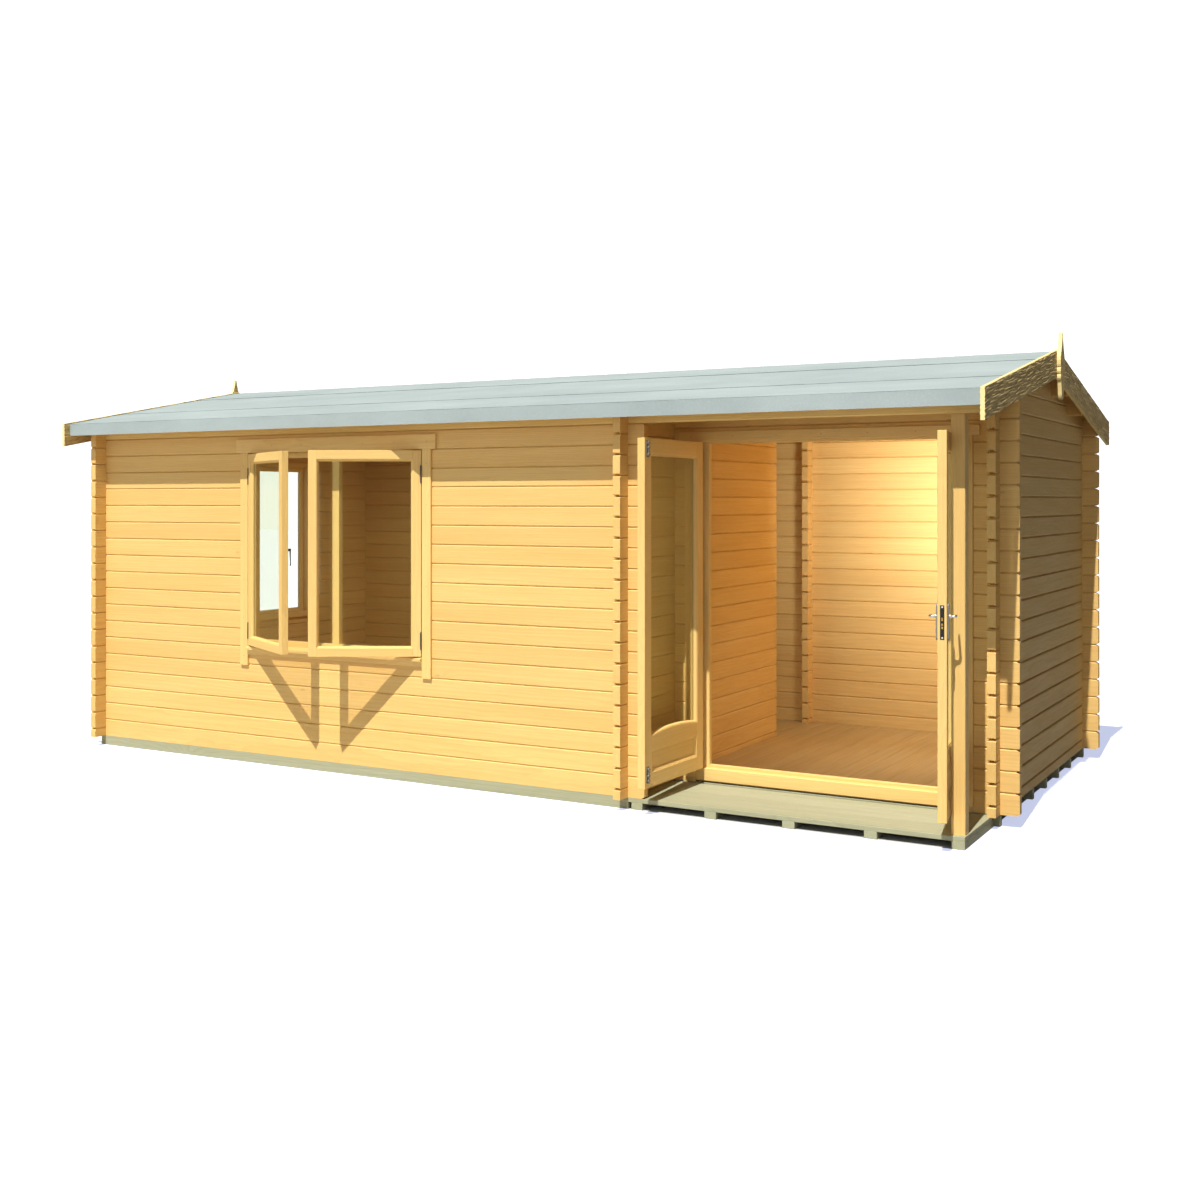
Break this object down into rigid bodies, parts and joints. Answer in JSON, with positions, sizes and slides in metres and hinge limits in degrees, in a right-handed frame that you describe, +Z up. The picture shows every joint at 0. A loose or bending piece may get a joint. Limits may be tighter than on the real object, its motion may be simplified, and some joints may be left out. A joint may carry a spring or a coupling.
{
  "type": "log cabin with recessed corner porch",
  "caption": "Gabled interlocking-log garden cabin with a recessed corner porch, glazed double doors, casement windows, an inner partition and a felted roof.",
  "frame": {"origin": "on the ground under the middle of the whole outline, open sashes included, 62 mm in front of the ridge", "axes": "+X to the right seen from the front, along the ridge; +Y to the rear; +Z up; the front wall faces -Y"},
  "size_m": [6.21, 3.6548, 2.648],
  "materials": {
    "log_timber": "satin",
    "joinery_timber": "satin",
    "roof_timber": "matte",
    "floor_timber": "matte",
    "sawn_timber": "matte",
    "treated_timber": "matte",
    "mineral_felt": "matte",
    "clear_glass": "gloss",
    "dark_metal": "satin",
    "grey_metal": "satin",
    "bright_metal": "satin"
  },
  "bodies": {
    "cabin": {"bargeboards_front": "sawn_timber", "bargeboards_rear": "sawn_timber", "crossing_log_ends": "log_timber", "door_head_and_stop_sill": "joinery_timber", "door_jambs": "joinery_timber", "door_outer_sill_and_head": "joinery_timber", "door_wall_head": "log_timber", "door_wall_sides": "log_timber", "doorway_threshold": "floor_timber", "eave_fascias": "roof_timber", "eave_felt": "mineral_felt", "finials": "sawn_timber", "floor_boards": "floor_timber", "frame_hinges": "dark_metal", "front_top_log": "log_timber", "front_wall_lower": "log_timber", "front_wall_piers": "log_timber", "front_wall_upper": "log_timber", "ground_bearers": "treated_timber", "header_trims": "joinery_timber", "left_gable_lower": "log_timber", "left_gable_piers": "log_timber", "left_gable_upper": "log_timber", "partition_head": "log_timber", "partition_return": "log_timber", "partition_wall": "log_timber", "porch_bearers": "treated_timber", "porch_deck": "treated_timber", "porch_post": "joinery_timber", "porch_side_log": "log_timber", "purlins": "roof_timber", "rear_wall": "log_timber", "right_gable_wall": "log_timber", "roof_boards_front": "roof_timber", "roof_boards_rear": "roof_timber", "roof_felt_front": "mineral_felt", "roof_felt_rear": "mineral_felt", "sash_fasteners": "dark_metal", "sash_hinges": "dark_metal", "sill_boards": "joinery_timber", "vertical_trims": "joinery_timber", "window_heads_and_sills": "joinery_timber", "window_jambs": "joinery_timber", "window_panes": "clear_glass", "window_sashes": "joinery_timber"},
    "left_door": {"left_leaf": "joinery_timber", "left_leaf_glass": "clear_glass", "left_leaf_ironmongery": "grey_metal"},
    "right_door": {"lock_backplates": "bright_metal", "lock_faceplate": "dark_metal", "right_leaf": "joinery_timber", "right_leaf_glass": "clear_glass", "right_leaf_hinges": "dark_metal"},
    "lever": {"lever_handle": "bright_metal"}
  },
  "joints": [
    {"name": "left_door_hinge", "type": "hinge", "parent": "cabin", "child": "left_door", "pos_m": [1.2564, -0.86663, 1.08], "axis": [0, 0, 1], "range_deg": [-2, 91]},
    {"name": "right_door_hinge", "type": "hinge", "parent": "cabin", "child": "right_door", "pos_m": [2.7574, -0.86663, 1.08], "axis": [0, 0, -1], "range_deg": [0, 100.2]},
    {"name": "lever_turn", "type": "hinge", "parent": "right_door", "child": "lever", "pos_m": [2.87534, -1.56732, 1.137], "axis": [-0.9842, -0.1771, 0], "range_deg": [0, 40], "stiffness_Nm_per_rad": 1.2, "springref_deg": -20.05}
  ]
}
